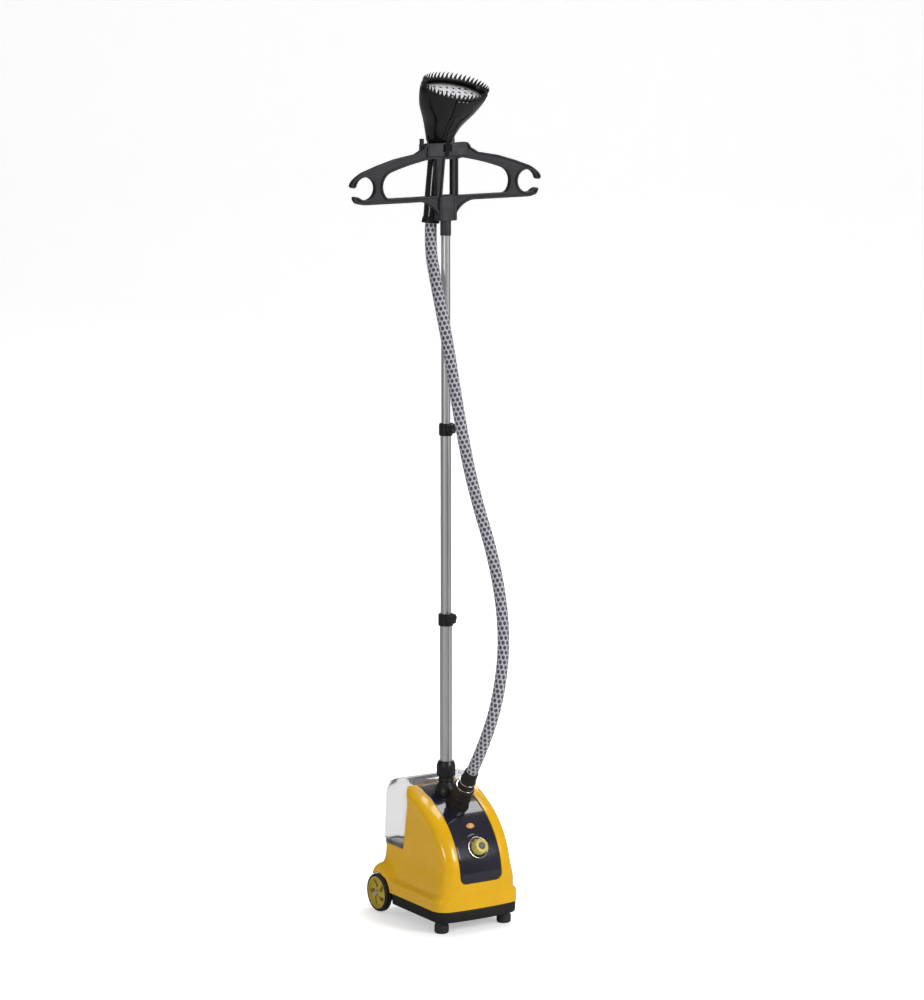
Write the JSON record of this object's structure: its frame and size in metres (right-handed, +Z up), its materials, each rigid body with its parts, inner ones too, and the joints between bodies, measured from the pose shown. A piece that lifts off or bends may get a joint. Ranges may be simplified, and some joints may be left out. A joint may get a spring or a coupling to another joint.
{
  "type": "garment steamer",
  "caption": "Upright garment steamer: wheeled base with boiler and clear water tank, telescopic mast, hanger with end hooks, braided steam hose and funnel steam head.",
  "frame": {"origin": "on the floor under the middle of the object, feet and wheels at Z 0", "axes": "+Z up along the mast, -Y towards the control panel, X across the hanger"},
  "size_m": [0.392, 0.2907, 1.5189],
  "materials": {
    "black_chassis": "moulded black, satin",
    "yellow_gloss": "glossy yellow ABS",
    "panel_gloss": "glossy black with a blue tint",
    "rubber": "matt",
    "tyre": "moulded rubber",
    "zinc_steel": "zinc plated",
    "olive_plastic": "olive yellow, semi gloss",
    "chrome": "plated",
    "grey_plastic": "dark grey",
    "clear_tank": "clear moulded plastic",
    "white_plastic": "natural nylon",
    "cast_aluminium": "as cast",
    "seal_rubber": "silicone",
    "brass": "plain",
    "black_plastic": "moulded, satin",
    "knob_yellow": "yellow green, semi gloss",
    "lamp_amber": "amber lens",
    "black_rubber": "satin",
    "mast_aluminium": "anodised",
    "satin_black": "satin moulded",
    "head_gloss": "polished black",
    "polished_steel": "polished plate",
    "braided_hose": "white braid with dark dots"
  },
  "bodies": {
    "base": {"chassis": "black_chassis", "body_shell": "yellow_gloss", "front_panel": "panel_gloss", "front_feet": "rubber", "chassis_screws": "zinc_steel", "wheel_axle": "zinc_steel", "axle_cap_left": "chrome", "axle_cap_right": "chrome", "tank_seat": "grey_plastic", "valve_cup": "grey_plastic", "boiler_body": "cast_aluminium", "boiler_gasket": "seal_rubber", "boiler_cover": "cast_aluminium", "heater_terminals": "zinc_steel", "thermostat": "brass", "thermal_fuse": "white_plastic", "steam_pipe": "seal_rubber", "water_pipe": "seal_rubber", "drain_plug": "black_plastic", "cable_gland": "black_plastic", "wire_terminals": "white_plastic", "knob_ring": "chrome", "steam_switch": "black_plastic", "lamp_lens": "lamp_amber", "hose_outlet": "black_plastic", "hose_cuff": "black_rubber", "mast_socket": "black_plastic", "mast_lower": "mast_aluminium", "clamp_lower": "black_plastic", "steam_hose": "braided_hose"},
    "mast_collar": {"mast_collar": "black_plastic"},
    "hose_nut": {"hose_nut": "black_plastic"},
    "control_knob": {"control_knob": "knob_yellow"},
    "wheel_left": {"tyre_left": "tyre", "hub_left": "olive_plastic"},
    "wheel_right": {"tyre_right": "tyre", "hub_right": "olive_plastic"},
    "water_tank": {"water_tank": "clear_tank", "tank_cap": "grey_plastic", "valve_spring": "zinc_steel"},
    "tank_valve": {"valve_plunger": "white_plastic"},
    "mast_middle": {"mast_middle": "mast_aluminium", "middle_guide": "white_plastic", "clamp_upper": "black_plastic"},
    "mast_upper": {"mast_upper": "mast_aluminium", "upper_guide": "white_plastic", "mast_sleeve": "satin_black", "hanger": "satin_black", "head_cradle": "satin_black"},
    "clamp_knob_lower": {"clamp_knob_lower": "black_plastic", "clamp_screw_lower": "zinc_steel"},
    "clamp_knob_upper": {"clamp_knob_upper": "black_plastic", "clamp_screw_upper": "zinc_steel"},
    "steam_head": {"head_shell": "head_gloss", "steam_plate": "polished_steel", "bristle_ring": "black_plastic", "brush_latch": "head_gloss", "rest_hook": "head_gloss", "head_handle": "head_gloss", "handle_cuff": "black_rubber"}
  },
  "joints": [
    {"name": "collar_turn", "type": "hinge", "parent": "base", "child": "mast_collar", "pos_m": [0, -0.003, 0.27], "axis": [0, 0, 1], "range_deg": [0, 90]},
    {"name": "hose_nut_turn", "type": "hinge", "parent": "base", "child": "hose_nut", "pos_m": [0, -0.041, 0.216], "axis": [0, -0.5736, 0.8192], "range_deg": [0, 270]},
    {"name": "knob_turn", "type": "hinge", "parent": "base", "child": "control_knob", "pos_m": [0, -0.1078, 0.14984], "axis": [0, -0.8988, 0.4384], "range_deg": [-270, 0]},
    {"name": "wheel_left_spin", "type": "hinge", "parent": "base", "child": "wheel_left", "pos_m": [-0.0855, 0.089, 0.035], "axis": [1, 0, 0], "continuous": true},
    {"name": "wheel_right_spin", "type": "hinge", "parent": "base", "child": "wheel_right", "pos_m": [0.0855, 0.089, 0.035], "axis": [1, 0, 0], "continuous": true},
    {"name": "tank_lift", "type": "slide", "parent": "base", "child": "water_tank", "axis": [0, 0, 1], "range_m": [0, 0.13]},
    {"name": "valve_press", "type": "slide", "parent": "water_tank", "child": "tank_valve", "axis": [0, 0, 1], "range_m": [0, 0.004], "stiffness_N_per_m": 60, "deforming": ["valve_spring"]},
    {"name": "mast_middle_slide", "type": "slide", "parent": "base", "child": "mast_middle", "axis": [0, 0, 1], "range_m": [-0.28, 0], "deforming": ["steam_hose"]},
    {"name": "mast_upper_slide", "type": "slide", "parent": "mast_middle", "child": "mast_upper", "axis": [0, 0, 1], "range_m": [-0.28, 0], "deforming": ["steam_hose"]},
    {"name": "clamp_lower_turn", "type": "hinge", "parent": "base", "child": "clamp_knob_lower", "pos_m": [0, -0.02, 0.552], "axis": [0, -1, 0], "range_deg": [0, 270]},
    {"name": "clamp_upper_turn", "type": "hinge", "parent": "mast_middle", "child": "clamp_knob_upper", "pos_m": [0, -0.02, 0.896], "axis": [0, -1, 0], "range_deg": [0, 270]},
    {"name": "head_lift", "type": "slide", "parent": "mast_upper", "child": "steam_head", "axis": [0, 0, 1], "range_m": [0, 0.045]}
  ],
  "couplings": [
    {"joint": "mast_upper_slide", "follows": "mast_middle_slide", "ratio": 1}
  ]
}
